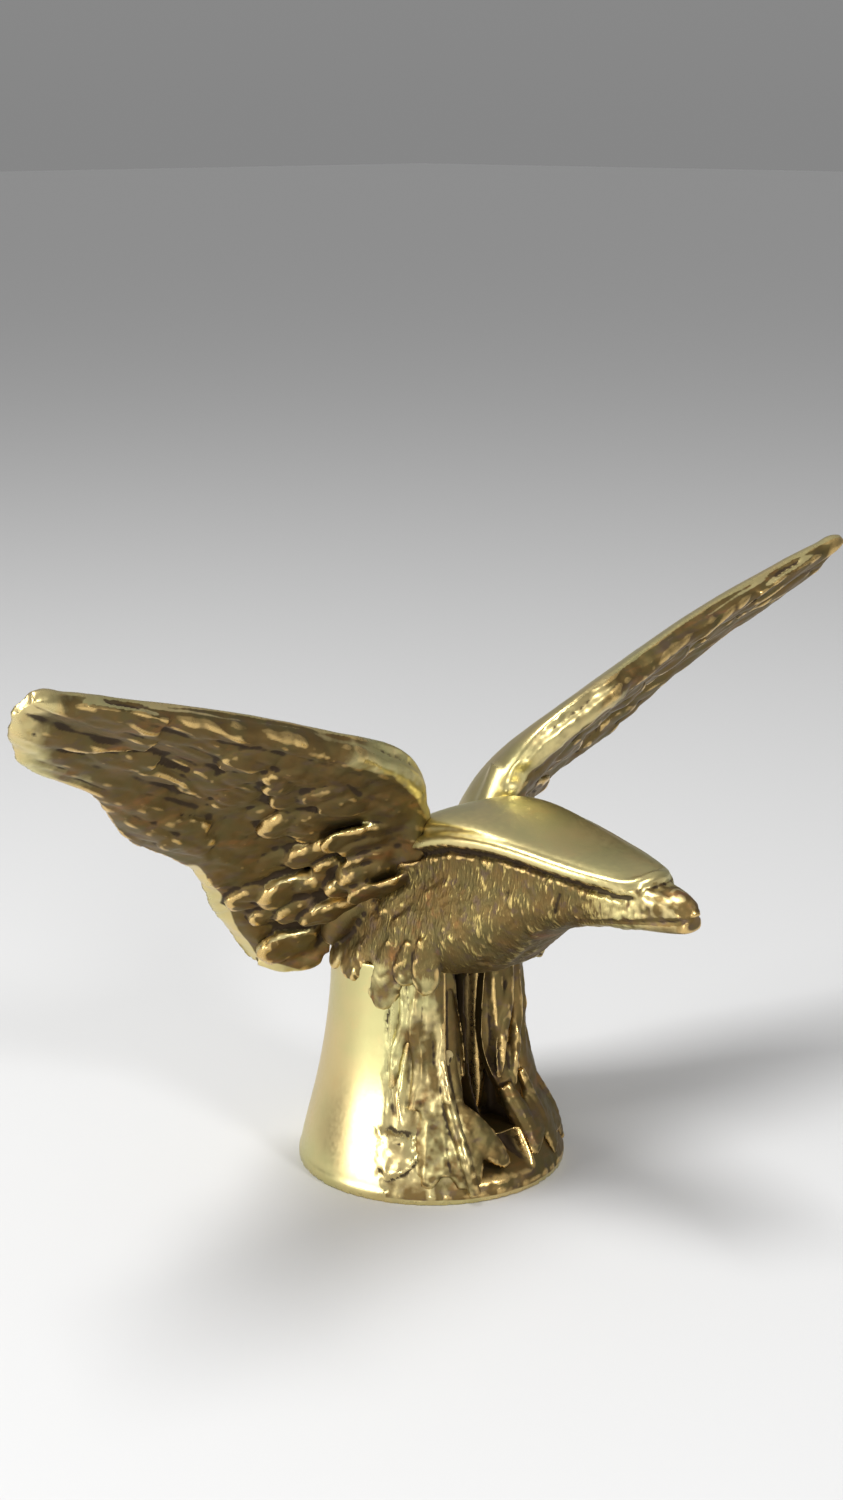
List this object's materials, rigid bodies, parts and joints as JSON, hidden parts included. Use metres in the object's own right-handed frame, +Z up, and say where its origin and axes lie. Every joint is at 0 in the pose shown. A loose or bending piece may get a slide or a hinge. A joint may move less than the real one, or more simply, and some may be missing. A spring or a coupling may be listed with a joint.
{
  "type": "hood ornament",
  "caption": "Cast brass bird of prey with raised spread wings, leaning forward over a hollow flared pedestal with a threaded bush for a car's bonnet or radiator cap",
  "frame": {"origin": "centre of the pedestal's rim, on the plane it stands on, which is also the mouth of the mounting thread", "axes": "+Z up out of the pedestal, the bird faces -Y, +X along its left wing"},
  "size_m": [0.1812, 0.077, 0.0961],
  "materials": {
    "cast_brass": "satin polished high points over dark patina",
    "brass_rod": "drawn rod, dressed flush",
    "steel": "turned and oiled"
  },
  "bodies": {
    "root": {"pedestal": "cast_brass", "right_leg": "cast_brass", "left_leg": "cast_brass", "body": "cast_brass", "right_wing": "cast_brass", "left_wing": "cast_brass", "leg_pins": "brass_rod", "right_wing_pin": "brass_rod", "left_wing_pin": "brass_rod", "tie_screw": "steel", "tie_washer": "steel", "mounting_bush": "steel"}
  },
  "joints": []
}
